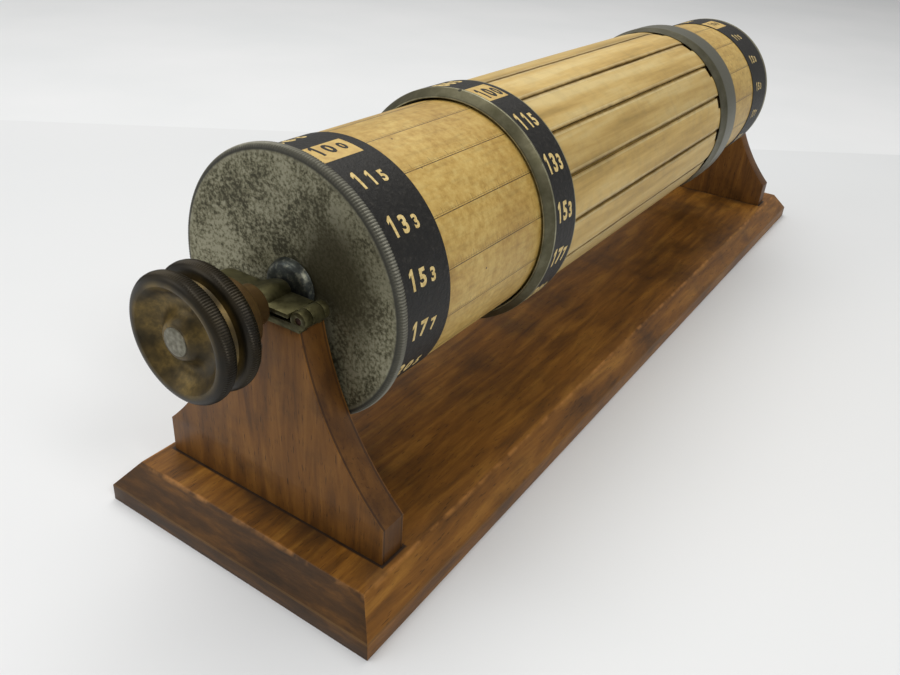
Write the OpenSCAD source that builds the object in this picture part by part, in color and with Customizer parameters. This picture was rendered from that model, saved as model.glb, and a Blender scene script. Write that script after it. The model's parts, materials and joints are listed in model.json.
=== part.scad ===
// Cylindrical slide rule: a scale drum turned by a knob between two hinged bearings on a
// wooden stand, with a slotted sleeve of slats that slides and turns on the drum.
// The drum runs along X, the knob is at -X, and the stand rests on z = 0.

/* [Stand] */
// Length of the base board
base_l = 446; // [440:1:470]
// Width of the base board
base_w = 108.4; // [100:0.2:130]
// Thickness of the base board
base_t = 14.7; // [12:0.1:18]
// Height of the board's square edge under the bevel
edge_h = 5.9; // [3:0.1:8]
// How far the bevel runs in over the top
bevel_in = 7.2; // [4:0.1:9]
// Thickness of each upright
upright_t = 9.8; // [9:0.1:10.5]
// Width of an upright at its foot
foot_w = 88.3; // [80:0.1:92]
// Height of the straight part of the foot
foot_h = 12.9; // [8:0.1:18]
// Width of an upright at its top
upright_top_w = 29; // [27:0.5:34]
// Radius of the hollow curve down each side
side_curve_r = 100; // [90:1:140]

/* [Drum] */
// Height of the drum's axis over the table
axis_z = 85.9; // [84:0.1:90]
// Radius of the drum over its scale sheet
drum_r = 38; // [37:0.1:38]
// Length of the drum between its end discs
drum_l = 345; // [340:1:346]
// Width of the black number band at each end
band_w = 22; // [15:1:26]
// Radius of the near end disc
near_disc_r = 40.7; // [40:0.1:41]
// Thickness of an end disc at its rim
disc_t = 4; // [3:0.1:4.2]
// Radius of the spindle
spindle_r = 2.4; // [2:0.1:3]

/* [Sleeve] */
// Length of the sleeve over both rings
sleeve_l = 200.8; // [160:0.1:230]
// Width of the near ring
near_ring_w = 18.2; // [14:0.1:20]
// Width of the far ring
far_ring_w = 20.6; // [16:0.1:22]
// Outer radius of a ring
ring_r = 41.9; // [41.7:0.1:43]
// Number of slats
slats = 16; // [16:1:16]
// Width of the gap between two slats
slat_gap = 1.0; // [0.6:0.1:1.6]
// Width of the step cut in each slat's far end
notch_w = 5.2; // [2:0.1:6]

/* [Knob] */
// Radius of the two knurled flanges
knob_r = 18; // [14:0.5:20]
// Radius of the hub behind the flanges
hub_r = 9.8; // [7:0.1:12]

/* [Hidden] */
$fn = 96;

function slat_name(i) = str("slat_", i < 10 ? "0" : "", i);

// Stations along the drum's axis
near_face_x = -204.1;                        // outer face of the near upright
near_inner_x = near_face_x + upright_t;
far_inner_x = 186.6;                         // inner face of the far upright
far_face_x = far_inner_x + upright_t;
drum_x0 = -189.9;                            // back of the near end disc
drum_x1 = drum_x0 + drum_l;
sleeve_x0 = -114.2;                          // near edge of the sleeve's near ring
sleeve_x1 = sleeve_x0 + sleeve_l;

// Drum make-up
paper_t = 0.4;
band_t = 0.3;
tube_r = drum_r - paper_t;
tube_wall = 2.6;
plug_t = 12;
far_disc_r = drum_r + band_t;
rim_round = 1.9;
dish_r = 9;                                  // flat middle of the disc, where the collar sits
collar_r = 8.5;
collar_gap = 0.35;                           // between a collar and its upright or plate
far_collar_w = 6;
set_screw_r = 1.2;

// Sleeve make-up
felt_in_r = drum_r + band_t + 0.3;
felt_t = 0.7;
ring_bore_r = felt_in_r + felt_t + 0.3;
lip_r = drum_r + band_t + 0.5;               // bore of the lip that keeps a felt liner in
lip_w = 1.2;
felt_inset = 0.6;
nose_r = 39.5;                               // the near ring's sloping side starts here
nose_l = 3.1;
near_rebate = 4;
far_rebate = 9;
far_slope_l = 7.1;                           // length of the far ring's long sloping side
slat_out_r = 40.7;
slat_t = 1.3;
slat_edge_t = 0.3;                           // thickness of the far ring where it meets the slats
notch_l = 11.3;
slat_phase = -2;                             // turn of the slats against the numbers
number_band_t = 0.25;
ring_border = 0.6;                           // bare metal each side of the sleeve's numbers
slat_arc = 360 / slats - slat_gap / slat_out_r * 180 / PI;
notch_arc = notch_w / slat_out_r * 180 / PI;

// Bearings
post_z = 81.55;                              // top of each upright
plate_t = 2.2;
plate_w = 9.6;
keeper_w = 10.3;
leaf_t = 1.3;
leaf_z = post_z + plate_t + 1.45;            // underside of a closed keeper
hinge_y = -14.6;
hinge_z = 85.1;
knuckle_r = 2.7;
pin_r = 1.1;
pin_clear = 0.06;
journal_clear = 0.05;
knuckle_1 = 3.0;                             // the plate's outer knuckle
knuckle_2 = 4.5;                             // the keeper's knuckle
knuckle_gap = 0.12;
plate_half = 14.4;
keeper_over = 0.7;                           // keeper's overhang past the plate's outer edge
tab_y = 21;
tab_round = 2.2;
arch_t = 1.0;
arch_back = 8;                               // where the arch runs out behind the spindle
plate_screw_y = 9.3;

// Knob stations
knob_x0 = near_face_x - 28.6;                // front of the knob
flange_w = 5.1;
groove_w = 3.0;
hub_x = knob_x0 + 2 * flange_w + groove_w;
hub_l = 7.6;
neck_r = 6;
neck_end_x = near_face_x - 1.6;
rivet_r = 4;

far_end_x = far_face_x + 3;

// Lays a shape made about Z along the drum's axis, with its base at x
module on_axis(x) {
    translate([x, 0, axis_z]) rotate([0, 90, 0]) children();
}

module round_bar(x0, x1, r) {
    on_axis(x0) cylinder(r = r, h = x1 - x0);
}

module round_tube(x0, x1, r_out, r_in) {
    on_axis(x0) difference() {
        cylinder(r = r_out, h = x1 - x0);
        translate([0, 0, -1]) cylinder(r = r_in, h = x1 - x0 + 2);
    }
}

// Extrudes an outline drawn in Y and Z along X, from x to x + l
module along_x(x, l) {
    translate([x, 0, 0]) rotate([90, 0, 90]) linear_extrude(height = l) children();
}

module bevelled_outline(w) {
    polygon([[-w / 2, 0], [w / 2, 0], [w / 2, edge_h], [w / 2 - bevel_in, base_t],
             [-w / 2 + bevel_in, base_t], [-w / 2, edge_h]]);
}

// Clearance holes and countersinks for the screws that come up through the board
screw_ys = [-26, 26];
screw_head_r = 4.2;
screw_shank_r = 2.1;
screw_l = 34;
screw_head_h = 2.6;
screw_sink = 0.8;

module upright_screw_places() {
    for (x = [near_face_x + upright_t / 2, far_inner_x + upright_t / 2])
        for (y = screw_ys)
            translate([x, y, screw_sink]) children();
}

module wood_screw(head_r, head_h, shank_r, l) {
    cylinder(r1 = head_r, r2 = shank_r, h = head_h);
    cylinder(r = shank_r, h = l);
}

module base_board() {
    color("saddlebrown") difference() {
        intersection() {
            along_x(-base_l / 2, base_l) bevelled_outline(base_w);
            translate([0, base_w / 2, 0]) rotate([90, 0, 0])
                linear_extrude(height = base_w) bevelled_outline(base_l);
        }
        upright_screw_places() {
            wood_screw(screw_head_r, screw_head_h, screw_shank_r, screw_l);
            translate([0, 0, -2]) cylinder(r = screw_head_r, h = 2);
        }
    }
}

// Centre of the circle that hollows one side, from the foot's shoulder to the top corner
shoulder = [foot_w / 2, base_t + foot_h];
corner = [upright_top_w / 2, post_z];
chord = corner - shoulder;
curve_mid = (corner + shoulder) / 2;
curve_off = sqrt(side_curve_r * side_curve_r - norm(chord) * norm(chord) / 4);
curve_centre = curve_mid + curve_off * [chord[1], -chord[0]] / norm(chord);

module upright_outline() {
    difference() {
        polygon([[-foot_w / 2, base_t], [foot_w / 2, base_t], shoulder, corner,
                 [-corner[0], corner[1]], [-shoulder[0], shoulder[1]]]);
        for (side = [-1, 1])
            translate([side * curve_centre[0], curve_centre[1]])
                circle(r = side_curve_r, $fn = 240);
    }
}

module plate_screw_places(x) {
    for (side = [-1, 1])
        translate([x, side * plate_screw_y, post_z + plate_t]) rotate([180, 0, 0]) children();
}

module plate_screw() {
    wood_screw(2, 1.2, 1.1, 12);
}

// A post with pilot holes for its screws and a groove that clears the spindle
module upright(x) {
    mid = x + upright_t / 2;
    color("peru") difference() {
        along_x(x, upright_t) upright_outline();
        upright_screw_places() cylinder(r = screw_shank_r, h = screw_l);
        plate_screw_places(mid) cylinder(r = 1.1, h = 12);
    }
}

module near_upright() {
    upright(near_face_x);
}

module far_upright() {
    upright(far_inner_x);
}

module upright_screws() {
    color("silver") upright_screw_places()
        wood_screw(screw_head_r, screw_head_h, screw_shank_r, screw_l);
}

// Lower leaf of a bearing, on the post: a plate with a saddle for the spindle and two knuckles
module bearing_plate_at() {
    x2 = knuckle_1 + knuckle_2;
    difference() {
        union() {
            along_x(0, plate_w)
                translate([hinge_y, post_z]) square([plate_half - hinge_y, plate_t]);
            along_x(0, knuckle_1) knuckle_outline();
            along_x(x2, plate_w - x2) knuckle_outline();
        }
        along_x(knuckle_1 - knuckle_gap, knuckle_2 + 2 * knuckle_gap)
            translate([hinge_y, hinge_z]) circle(r = knuckle_r + 0.35);
        along_x(-1, plate_w + 2) translate([hinge_y, hinge_z]) circle(r = pin_r);
        along_x(-1, plate_w + 2)
            translate([0, axis_z]) circle(r = spindle_r + journal_clear);
        plate_screw_places(plate_w / 2) plate_screw();
    }
}

module knuckle_outline() {
    translate([hinge_y, hinge_z]) circle(r = knuckle_r);
    translate([hinge_y - 0.4, post_z + 0.01]) square([3, plate_t]);
}

// Upper leaf: a flat strap arched over the spindle, hinged at the front, with a thumb tab behind
module keeper_at() {
    reach = knuckle_r + 0.3;
    difference() {
        union() {
            intersection() {
                along_x(-keeper_over, keeper_w) keeper_outline(hinge_y + reach);
                translate([-keeper_over, 0, 0]) linear_extrude(height = 2 * axis_z) keeper_plan();
            }
            along_x(knuckle_1 + knuckle_gap, knuckle_2 - 2 * knuckle_gap) {
                translate([hinge_y, hinge_z]) circle(r = knuckle_r);
                translate([hinge_y, leaf_z]) square([reach + 0.5, leaf_t]);
            }
        }
        along_x(-2, keeper_w + 4)
            translate([hinge_y, hinge_z]) circle(r = pin_r + pin_clear);
    }
}

// The strap seen from above, with the thumb tab's corners rounded
module keeper_plan() {
    translate([0, hinge_y]) square([keeper_w, tab_y - hinge_y - tab_round]);
    translate([tab_round, tab_y - 2 * tab_round])
        square([keeper_w - 2 * tab_round, 2 * tab_round]);
    for (x = [tab_round, keeper_w - tab_round])
        translate([x, tab_y - tab_round]) circle(r = tab_round);
}

module keeper_outline(y0) {
    difference() {
        union() {
            translate([y0, leaf_z]) square([tab_y - y0, leaf_t]);
            translate([0, axis_z]) circle(r = spindle_r + arch_t);
            polygon([[0, leaf_z + 0.2], [0, axis_z + spindle_r + arch_t],
                     [1.6, axis_z + spindle_r + arch_t - 0.2], [arch_back, leaf_z + leaf_t],
                     [arch_back, leaf_z + 0.2]]);
        }
        translate([0, axis_z]) circle(r = spindle_r + journal_clear);
        translate([-spindle_r - 0.2, axis_z - 8]) square([2 * spindle_r + 0.4, 8]);
        translate([-8, leaf_z - 6]) square([16, 6]);
    }
}

// Both bearings are the same, turned outwards: the far one is mirrored end for end
module near_bearing_place() {
    translate([near_face_x - 0.4, 0, 0]) children();
}

module far_bearing_place() {
    translate([far_face_x + 0.4, 0, 0]) mirror([1, 0, 0]) children();
}

module near_bearing_plate() {
    color("darkkhaki") near_bearing_place() bearing_plate_at();
}

module far_bearing_plate() {
    color("darkkhaki") far_bearing_place() bearing_plate_at();
}

module near_keeper() {
    color("khaki") near_bearing_place() keeper_at();
}

module far_keeper() {
    color("khaki") far_bearing_place() keeper_at();
}

module bearing_plate_screws() {
    color("goldenrod") {
        near_bearing_place() plate_screw_places(plate_w / 2) plate_screw();
        far_bearing_place() plate_screw_places(plate_w / 2) plate_screw();
    }
}

module hinge_pin() {
    translate([0.2, hinge_y, hinge_z]) rotate([0, 90, 0]) cylinder(r = pin_r, h = plate_w - 0.4);
}

module near_hinge_pin() {
    color("sienna") near_bearing_place() hinge_pin();
}

module far_hinge_pin() {
    color("sienna") far_bearing_place() hinge_pin();
}

module spindle() {
    color("gray") round_bar(knob_x0 + 0.8, far_end_x, spindle_r);
}

near_collar_x = near_inner_x + collar_gap;
near_web_x = near_collar_x + 3.0;
far_disc_x1 = drum_x1 + disc_t;

module near_collar() {
    color("darkslategray") round_tube(near_collar_x, near_web_x, collar_r, spindle_r);
}

module far_collar() {
    color("darkslategray") difference() {
        round_tube(far_disc_x1, far_disc_x1 + far_collar_w, collar_r, spindle_r);
        far_set_screw_hole();
    }
}

module far_set_screw_hole() {
    translate([far_disc_x1 + far_collar_w / 2, 0, axis_z + spindle_r])
        cylinder(r = set_screw_r, h = collar_r);
}

module collar_screws() {
    color("dimgray") translate([far_disc_x1 + far_collar_w / 2, 0, axis_z + spindle_r])
        difference() {
            cylinder(r = set_screw_r, h = collar_r - spindle_r - 0.6);
            translate([-2, -0.3, collar_r - spindle_r - 1.6]) cube([4, 0.6, 2]);
        }
}

// Spool-shaped knob: outline as radius against distance behind its front
module control_knob() {
    f = flange_w;
    g = flange_w + groove_w;
    h = 2 * flange_w + groove_w;
    color("darkgoldenrod") on_axis(knob_x0) difference() {
        rotate_extrude() union() {
            flange_outline(0);
            flange_outline(g);
            translate([0, 1]) square([knob_r - 3.6, h - 2]);
            square([knob_r - 2, f]);
            translate([0, g]) square([hub_r + 1, f]);
            translate([0, h - 1]) square([hub_r, hub_l + 1]);
            translate([0, h]) square([neck_r, neck_end_x - hub_x]);
        }
        rotate_extrude()
            polygon([[rivet_r + 1.2, 0.6], [8.5, 3.4], [11.4, 3.0], [13.4, 1.0], [13.9, -1],
                     [0, -1], [0, 0.6]]);
        translate([0, 0, 0.6]) cylinder(r = spindle_r, h = 40);
    }
}

module flange_outline(z) {
    round_r = 2.2;
    translate([0, z]) square([knob_r - round_r, flange_w]);
    translate([0, z + round_r]) square([knob_r, flange_w - 2 * round_r]);
    for (dz = [round_r, flange_w - round_r])
        translate([knob_r - round_r, z + dz]) circle(r = round_r, $fn = 48);
}

module knob_rivet() {
    color("silver") on_axis(knob_x0)
        rotate_extrude() polygon([[0, -0.1], [2.8, 0], [rivet_r, 0.6], [0, 0.6]]);
}

// Turned disc: rounded rim, and a face that dips towards the collar
module end_disc(r, dip) {
    rotate_extrude() difference() {
        union() {
            square([r - rim_round, disc_t]);
            translate([0, rim_round]) square([r, disc_t - 2 * rim_round]);
            for (dz = [rim_round, disc_t - rim_round])
                translate([r - rim_round, dz]) circle(r = rim_round, $fn = 48);
        }
        polygon([[0, dip], [dish_r, dip], [r - rim_round - 0.4, 0], [0, -0.01]]);
        translate([0, -1]) square([spindle_r, disc_t + 2]);
    }
}

module near_end_disc() {
    color("darkgray") on_axis(drum_x0 - disc_t) end_disc(near_disc_r, near_web_x - drum_x0 + disc_t);
}

module far_end_disc() {
    color("darkgray") on_axis(far_disc_x1) mirror([0, 0, 1]) end_disc(far_disc_r, 0);
}

module drum_tube() {
    color("tan") round_tube(drum_x0, drum_x1, tube_r, tube_r - tube_wall);
}

module near_end_plug() {
    color("burlywood") round_tube(drum_x0, drum_x0 + plug_t, tube_r - tube_wall, spindle_r);
}

module far_end_plug() {
    color("burlywood") round_tube(drum_x1 - plug_t, drum_x1, tube_r - tube_wall, spindle_r);
}

module drum_scale_sheet() {
    color("wheat") round_tube(drum_x0, drum_x1, drum_r, tube_r);
}

module near_number_band() {
    color("black") round_tube(drum_x0, drum_x0 + band_w, drum_r + band_t, drum_r);
}

module far_number_band() {
    color("black") round_tube(drum_x1 - band_w - 3, drum_x1, drum_r + band_t, drum_r);
}

module near_felt_liner() {
    color("darkgreen")
        round_tube(sleeve_x0 + lip_w + felt_inset, sleeve_x0 + near_ring_w - near_rebate - felt_inset,
                   felt_in_r + felt_t, felt_in_r);
}

module far_felt_liner() {
    color("darkgreen")
        round_tube(sleeve_x1 - far_ring_w + far_rebate + felt_inset, sleeve_x1 - lip_w - felt_inset,
                   felt_in_r + felt_t, felt_in_r);
}

// Each ring has a lip at its outer end, a bore for the felt, and a rebate for the slats' ends
module near_sleeve_ring() {
    w = near_ring_w;
    color("slategray") on_axis(sleeve_x0) difference() {
        rotate_extrude()
            polygon([[lip_r, 0], [nose_r, 0], [ring_r, nose_l], [ring_r, w], [slat_out_r, w],
                     [slat_out_r, w - near_rebate], [ring_bore_r, w - near_rebate],
                     [ring_bore_r, lip_w], [lip_r, lip_w]]);
        translate([0, 0, nose_l + ring_border]) difference() {
            cylinder(r = ring_r + 1, h = number_band_l);
            cylinder(r = ring_r - number_band_t, h = number_band_l);
        }
    }
}

module far_sleeve_ring() {
    w = far_ring_w;
    color("slategray") on_axis(sleeve_x1) mirror([0, 0, 1]) rotate_extrude()
        polygon([[lip_r, 0], [ring_r, 0], [ring_r, w - far_slope_l],
                 [slat_out_r + slat_edge_t, w], [slat_out_r, w],
                 [slat_out_r, w - far_rebate], [ring_bore_r, w - far_rebate],
                 [ring_bore_r, lip_w], [lip_r, lip_w]]);
}

number_band_l = near_ring_w - nose_l - 2 * ring_border;

module sleeve_number_band() {
    x0 = sleeve_x0 + nose_l + ring_border;
    color("black") round_tube(x0, x0 + number_band_l, ring_r, ring_r - number_band_t);
}

// One slat, curved to the drum, with its ends in the rings' rebates and a step in its far end
module slat(i) {
    l = sleeve_x1 - far_ring_w + far_rebate - (sleeve_x0 + near_ring_w - near_rebate);
    color("burlywood") on_axis(sleeve_x0 + near_ring_w - near_rebate)
        rotate([0, 0, (i - 0.5) * 360 / slats + slat_phase - slat_arc / 2]) difference() {
            rotate_extrude(angle = slat_arc, $fn = 192)
                translate([slat_out_r - slat_t, 0]) square([slat_t, l]);
            rotate([0, 0, -4]) rotate_extrude(angle = notch_arc + 4, $fn = 192)
                translate([slat_out_r - slat_t - 1, l - notch_l]) square([slat_t + 2, notch_l + 1]);
        }
}

base_board();
near_upright();
far_upright();
upright_screws();
near_bearing_plate();
far_bearing_plate();
bearing_plate_screws();
near_hinge_pin();
far_hinge_pin();
near_keeper();
far_keeper();
spindle();
near_collar();
far_collar();
collar_screws();
control_knob();
knob_rivet();
near_end_disc();
far_end_disc();
drum_tube();
near_end_plug();
far_end_plug();
drum_scale_sheet();
near_number_band();
far_number_band();
near_felt_liner();
far_felt_liner();
near_sleeve_ring();
far_sleeve_ring();
sleeve_number_band();
for (i = [1 : slats]) slat(i);
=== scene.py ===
import json
import math
import random

import bpy
from mathutils import Matrix, Vector, noise


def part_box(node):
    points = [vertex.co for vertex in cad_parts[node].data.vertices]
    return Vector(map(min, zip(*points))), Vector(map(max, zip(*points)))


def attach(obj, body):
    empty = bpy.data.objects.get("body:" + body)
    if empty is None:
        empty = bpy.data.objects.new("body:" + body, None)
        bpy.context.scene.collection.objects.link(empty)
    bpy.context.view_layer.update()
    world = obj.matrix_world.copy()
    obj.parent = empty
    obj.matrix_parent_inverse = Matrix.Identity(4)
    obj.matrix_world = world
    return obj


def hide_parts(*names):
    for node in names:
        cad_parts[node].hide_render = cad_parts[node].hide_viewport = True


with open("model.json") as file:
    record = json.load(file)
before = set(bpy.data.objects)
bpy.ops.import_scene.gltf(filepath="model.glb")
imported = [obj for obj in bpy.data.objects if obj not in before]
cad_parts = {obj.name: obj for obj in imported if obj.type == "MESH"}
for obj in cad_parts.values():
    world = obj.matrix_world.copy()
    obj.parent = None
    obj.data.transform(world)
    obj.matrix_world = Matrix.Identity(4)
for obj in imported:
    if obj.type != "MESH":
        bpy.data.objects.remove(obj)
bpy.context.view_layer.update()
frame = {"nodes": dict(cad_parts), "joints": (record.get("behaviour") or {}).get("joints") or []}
random.seed(16)

mm = 0.001
scene = bpy.context.scene
axisZ = next(joint for joint in frame["joints"] if joint["name"] == "drum_spin")["pos_m"][2]
rowCount = 16
rowAngle = math.radians(360 / rowCount)
rowNumbers = [int(100 * 10 ** (row / rowCount)) for row in range(rowCount)]

# Where the rows of figures stand: angles from the top of the drum towards the user
figures = {
    "drumLine": math.radians(10.6),      # line that the first row's figures stand on
    "ringLine": math.radians(15.3),
    "slatGap": math.radians(20.5),       # first gap between two slats
}


def deselectAll():
    if bpy.context.object and bpy.context.object.mode != "OBJECT":
        bpy.ops.object.mode_set(mode="OBJECT")
    bpy.ops.object.select_all(action="DESELECT")


def pick(piece):
    deselectAll()
    piece.select_set(True)
    bpy.context.view_layer.objects.active = piece


def startEdit():
    bpy.ops.object.mode_set(mode="EDIT")
    bpy.ops.mesh.select_all(action="SELECT")


def endEdit():
    bpy.ops.mesh.select_all(action="SELECT")
    bpy.ops.mesh.normals_make_consistent(inside=False)
    bpy.ops.object.mode_set(mode="OBJECT")


def smooth(angle):
    bpy.ops.object.shade_smooth_by_angle(angle=math.radians(angle))


def bevelled(piece, width, angle):
    bevel = piece.modifiers.new("edges", "BEVEL")
    bevel.width = width
    bevel.segments = 2
    bevel.limit_method = "ANGLE"
    bevel.angle_limit = math.radians(angle)
    bpy.ops.object.modifier_apply(modifier=bevel.name)


def hexColour(code):
    channels = [int(code[i:i + 2], 16) / 255 for i in (1, 3, 5)]
    return [c / 12.92 if c < 0.04045 else ((c + 0.055) / 1.055) ** 2.4 for c in channels] + [1]


def addNode(tree, kind, links=None, **settings):
    # links: input name or number -> a node, a socket, a value or a hex colour; stops fills a colour ramp
    node = tree.nodes.new("ShaderNode" + kind)
    stops = settings.pop("stops", None)
    if kind == "Mix":
        node.data_type = "RGBA"
    for name, value in settings.items():
        setattr(node, name, value)
    if stops:
        while len(node.color_ramp.elements) < len(stops):
            node.color_ramp.elements.new(0.5)
        for element, (place, colour) in zip(node.color_ramp.elements, stops):
            element.position = place
            element.color = hexColour(colour) if isinstance(colour, str) else [colour] * 3 + [1]
    for socket, value in (links or {}).items():
        if isinstance(value, bpy.types.Node):
            value = next(output for output in value.outputs if output.enabled)
        if isinstance(value, bpy.types.NodeSocket):
            tree.links.new(value, node.inputs[socket])
        else:
            colour = isinstance(value, str) and hexColour(value)
            node.inputs[socket].default_value = colour or value
    return node


def newMaterial(name, **surface):
    # A Principled material; surface gives constants by socket name, set on the shader itself
    material = bpy.data.materials.new(name)
    material.use_nodes = True
    tree = material.node_tree
    shader = next(node for node in tree.nodes if node.type == "BSDF_PRINCIPLED")
    for socket, value in surface.items():
        shader.inputs[socket.replace("_", " ")].default_value = value
    return material, tree, shader


def connect(tree, shader, **nodes):
    # nodes: socket name -> the node that feeds it
    for socket, node in nodes.items():
        output = next(output for output in node.outputs if output.enabled)
        tree.links.new(output, shader.inputs[socket.replace("_", " ")])


def finishPiece(piece, name, material, body, slotName, *replaced):
    piece.name = name
    piece.data.materials.clear()
    piece.data.materials.append(material)
    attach(piece, body)
    if replaced:
        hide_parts(*replaced)


def dress(material, *nodes):
    for node in nodes:
        for materialSlot in frame["nodes"][node].material_slots:
            materialSlot.material = material


def low(node):
    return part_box(node)[0]


def high(node):
    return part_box(node)[1]


def startOf(node):
    return low(node).x / mm


def endOf(node):
    return high(node).x / mm


def radiusOf(node):
    return (high(node).z - axisZ) / mm


def shifted(outline, x):
    # The same outline further along the axis
    return [(x + along, radius) for along, radius in outline]


def turned(outline, steps, closed=True):
    # Turns an outline of (x, radius) points in mm about the drum's axis
    deselectAll()
    startX, startR = outline[0]
    bpy.ops.mesh.primitive_circle_add(vertices=steps, radius=startR * mm,
                                      location=(startX * mm, 0, axisZ), rotation=(0, math.pi / 2, 0))
    piece = bpy.context.object
    bpy.ops.object.transform_apply()
    startEdit()
    path = list(outline) + ([outline[0]] if closed else [])
    for (x0, r0), (x1, r1) in zip(path, path[1:]):
        bpy.ops.mesh.extrude_region_move(TRANSFORM_OT_translate={"value": ((x1 - x0) * mm, 0, 0)})
        if r1 != r0:
            bpy.ops.transform.resize(value=(1, r1 / r0, r1 / r0), center_override=(x1 * mm, 0, axisZ))
    bpy.ops.mesh.select_all(action="SELECT")
    bpy.ops.mesh.remove_doubles(threshold=0.002 * mm)
    bpy.ops.mesh.fill_holes(sides=0)
    endEdit()
    smooth(32)
    return piece


def mill(piece, steps, fromR, x0, x1, depth):
    # Presses in every second line of the turned shape, beyond the radius fromR
    pick(piece)
    bpy.ops.object.mode_set(mode="EDIT")
    bpy.ops.mesh.select_mode(type="VERT")
    bpy.ops.mesh.select_all(action="DESELECT")
    bpy.ops.object.mode_set(mode="OBJECT")
    for vertex in piece.data.vertices:
        x, y, z = vertex.co.x / mm, vertex.co.y / mm, (vertex.co.z - axisZ) / mm
        line = round(math.atan2(y, z) / (2 * math.pi / steps))
        vertex.select = line % 2 == 1 and math.hypot(y, z) > fromR and x0 < x < x1
    bpy.ops.object.mode_set(mode="EDIT")
    share = 1 - depth / fromR
    bpy.ops.transform.resize(value=(1, share, share), center_override=((x0 + x1) / 2 * mm, 0, axisZ))
    bpy.ops.object.mode_set(mode="OBJECT")
    smooth(40)


def softened(node, width, cuts=(), wear=0):
    # A copy of a CAD node with its sharp edges rounded, and cut across so that wear can shape them
    piece = bpy.data.objects.new(node + "_finished", frame["nodes"][node].data.copy())
    scene.collection.objects.link(piece)
    pick(piece)
    bpy.ops.mesh.customdata_custom_splitnormals_clear()
    startEdit()
    bpy.ops.mesh.remove_doubles(threshold=0.002 * mm)
    bpy.ops.mesh.dissolve_limited(angle_limit=math.radians(1))
    start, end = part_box(node)
    for axis, step in cuts:
        direction = Vector([axis == i for i in range(3)])
        place = start[axis] + step * mm * 0.5
        while place < end[axis]:
            bpy.ops.mesh.select_all(action="SELECT")
            bpy.ops.mesh.bisect(plane_co=direction * place, plane_no=direction)
            place += step * mm
    bpy.ops.object.mode_set(mode="OBJECT")
    bevelled(piece, width * mm, 32)
    if wear:
        centre = (start + end) / 2
        for vertex in piece.data.vertices:
            dent = abs(noise.noise(vertex.co / (14 * mm))) + 0.6 * abs(noise.noise(vertex.co / (4 * mm)))
            inwards = (centre - vertex.co).normalized()
            if start.z + 0.1 * mm < vertex.co.z:
                vertex.co += inwards * dent * wear * mm
    smooth(30)
    return piece


def onDrum(piece, x0, angle, radius):
    # Wraps a flat piece, in mm with Y up the drum, round the axis: its Y = 0 lies at the angle
    for vertex in piece.data.vertices:
        x, y, z = vertex.co
        turn = angle - y / radius
        vertex.co = ((x0 + x) * mm, -(radius + z) * mm * math.sin(turn),
                     axisZ + (radius + z) * mm * math.cos(turn))


def joined(pieces):
    deselectAll()
    for piece in pieces:
        piece.select_set(True)
    bpy.context.view_layer.objects.active = pieces[0]
    bpy.ops.object.join()
    return pieces[0]


digit = {"printHeight": 0.03, "slice": 1.3, "bold": 0.038}
# a figure one with its flag, one unit high
figureOne = [(0.0, 0), (0.17, 0), (0.17, 1), (0.05, 1), (-0.14, 0.82), (-0.14, 0.64), (0.0, 0.76)]


def digitShape(character, height, narrowing):
    # One figure as a thin flat mesh in mm, standing on Y = 0 and centred on X = 0
    deselectAll()
    bpy.ops.object.text_add()
    piece = bpy.context.object
    piece.data.body = character
    piece.data.offset = digit["bold"]
    piece.data.resolution_u = 3
    piece.data.extrude = 0.01
    bpy.ops.object.convert(target="MESH")
    piece = bpy.context.object
    if character == "1":
        count = len(figureOne)
        corners = [(x, y, z) for z in (-0.01, 0.01) for x, y in figureOne]
        sides = [(i, (i + 1) % count, count + (i + 1) % count, count + i) for i in range(count)]
        piece.data.clear_geometry()
        piece.data.from_pydata(corners, [], [list(range(count))[::-1], list(range(count, 2 * count))] + sides)
    corners = [vertex.co.copy() for vertex in piece.data.vertices]
    left, right = min(c.x for c in corners), max(c.x for c in corners)
    bottom, top = min(c.y for c in corners), max(c.y for c in corners)
    scale = height / (top - bottom)
    for vertex in piece.data.vertices:
        vertex.co.x = (vertex.co.x - (left + right) / 2) * scale * narrowing
        vertex.co.y = (vertex.co.y - bottom) * scale
        vertex.co.z = digit["printHeight"] if vertex.co.z > 0 else -digit["printHeight"]
    startEdit()
    bpy.ops.mesh.remove_doubles(threshold=0.002)
    cut = digit["slice"]
    while cut < height:
        bpy.ops.mesh.select_all(action="SELECT")
        bpy.ops.mesh.bisect(plane_co=(0, cut, 0), plane_no=(0, 1, 0))
        cut += digit["slice"]
    endEdit()
    return piece


def printedFigures(heights, centres, narrowing, lineAngle, radius):
    # All rows of figures round a band: the first row apart from the others
    shapes = {(character, height): digitShape(character, height, narrowing)
              for height in heights for character in "0123456789"}
    first, others = [], []
    for row, number in enumerate(rowNumbers):
        for character, height, centre in zip(str(number), heights, centres):
            piece = bpy.data.objects.new("figure", shapes[character, height].data.copy())
            scene.collection.objects.link(piece)
            onDrum(piece, centre, lineAngle + row * rowAngle, radius)
            (others if row else first).append(piece)
    for shape in shapes.values():
        bpy.data.objects.remove(shape)
    return joined(first), joined(others)


def printedBox(x0, x1, lineAngle, below, height, radius):
    # The light field behind the first row's figures
    deselectAll()
    bpy.ops.mesh.primitive_grid_add(x_subdivisions=2, y_subdivisions=12, size=1)
    piece = bpy.context.object
    startEdit()
    bpy.ops.mesh.extrude_region_move(TRANSFORM_OT_translate={"value": (0, 0, 0.02)})
    endEdit()
    for vertex in piece.data.vertices:
        vertex.co.x = (vertex.co.x + 0.5) * (x1 - x0)
        vertex.co.y = (vertex.co.y + 0.5) * height - below
    onDrum(piece, x0, lineAngle, radius)
    return piece


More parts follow.
